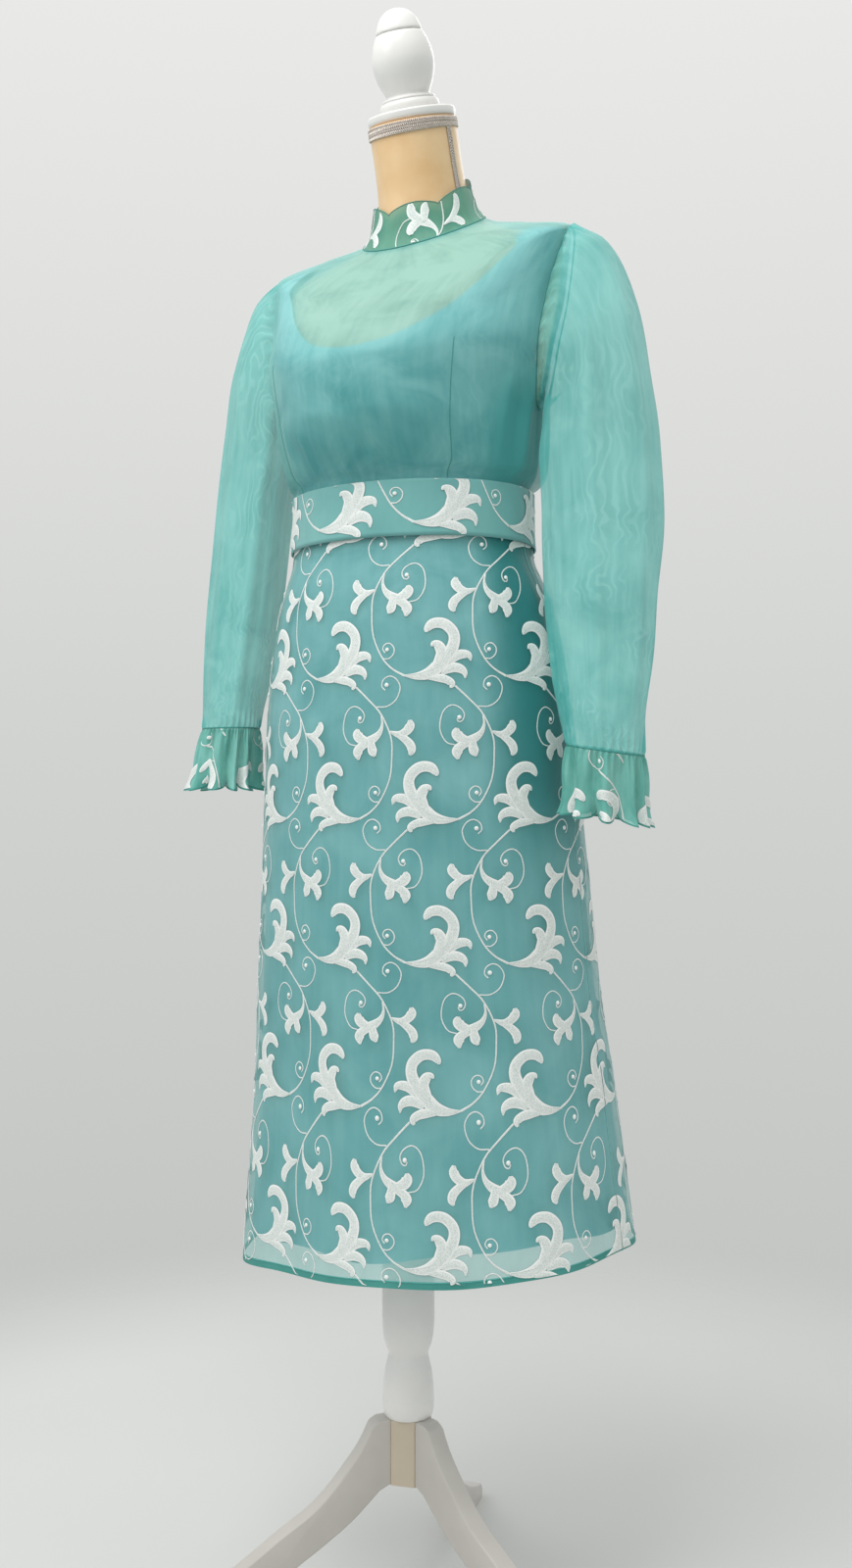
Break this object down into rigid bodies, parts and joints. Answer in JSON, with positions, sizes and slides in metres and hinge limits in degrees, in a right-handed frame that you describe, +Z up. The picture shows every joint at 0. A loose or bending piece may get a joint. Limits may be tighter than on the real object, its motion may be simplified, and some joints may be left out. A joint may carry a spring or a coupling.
{
  "type": "pencil dress on a dress form stand",
  "caption": "Long-sleeved sheer pencil dress with embroidered belt, skirt, collar and cuff ruffles over a plain lining, worn by a limbless dress form on a turned tripod stand",
  "frame": {"origin": "Middle of the bounding box's bottom, on the floor between the feet", "axes": "+Z is up, -Y is the front of the dress and +X is the wearer's left"},
  "size_m": [0.5906, 0.5138, 1.724],
  "materials": {
    "form_cover": "satin jersey",
    "white_wood": "painted, satin",
    "grey_wood": "painted, satin",
    "hub_wood": "primed",
    "bolt": "blackened",
    "braid": "metallic braid",
    "lining": "plain weave, satin sheen",
    "organza": "sheer plain weave",
    "embroidered_organza": "sheer plain weave with satin stitch"
  },
  "bodies": {
    "root": {"form_torso": "form_cover", "neck_disc": "white_wood", "finial": "white_wood", "neck_braid": "braid", "side_braid": "braid", "pole": "white_wood", "hub": "hub_wood", "hub_bolt": "bolt", "leg_left": "grey_wood", "leg_back": "grey_wood", "leg_right": "grey_wood", "lining_front": "lining", "lining_back_left": "lining", "lining_back_right": "lining", "skirt_lining_front": "lining", "skirt_lining_back_left": "lining", "skirt_lining_back_right": "lining", "bodice_front": "organza", "bodice_back_left": "organza", "bodice_back_right": "organza", "placket": "organza", "sleeve_left": "organza", "sleeve_right": "organza", "skirt_front": "embroidered_organza", "skirt_back_left": "embroidered_organza", "skirt_back_right": "embroidered_organza", "belt": "embroidered_organza", "collar": "embroidered_organza", "ruffle_left": "embroidered_organza", "ruffle_right": "embroidered_organza"}
  },
  "joints": []
}
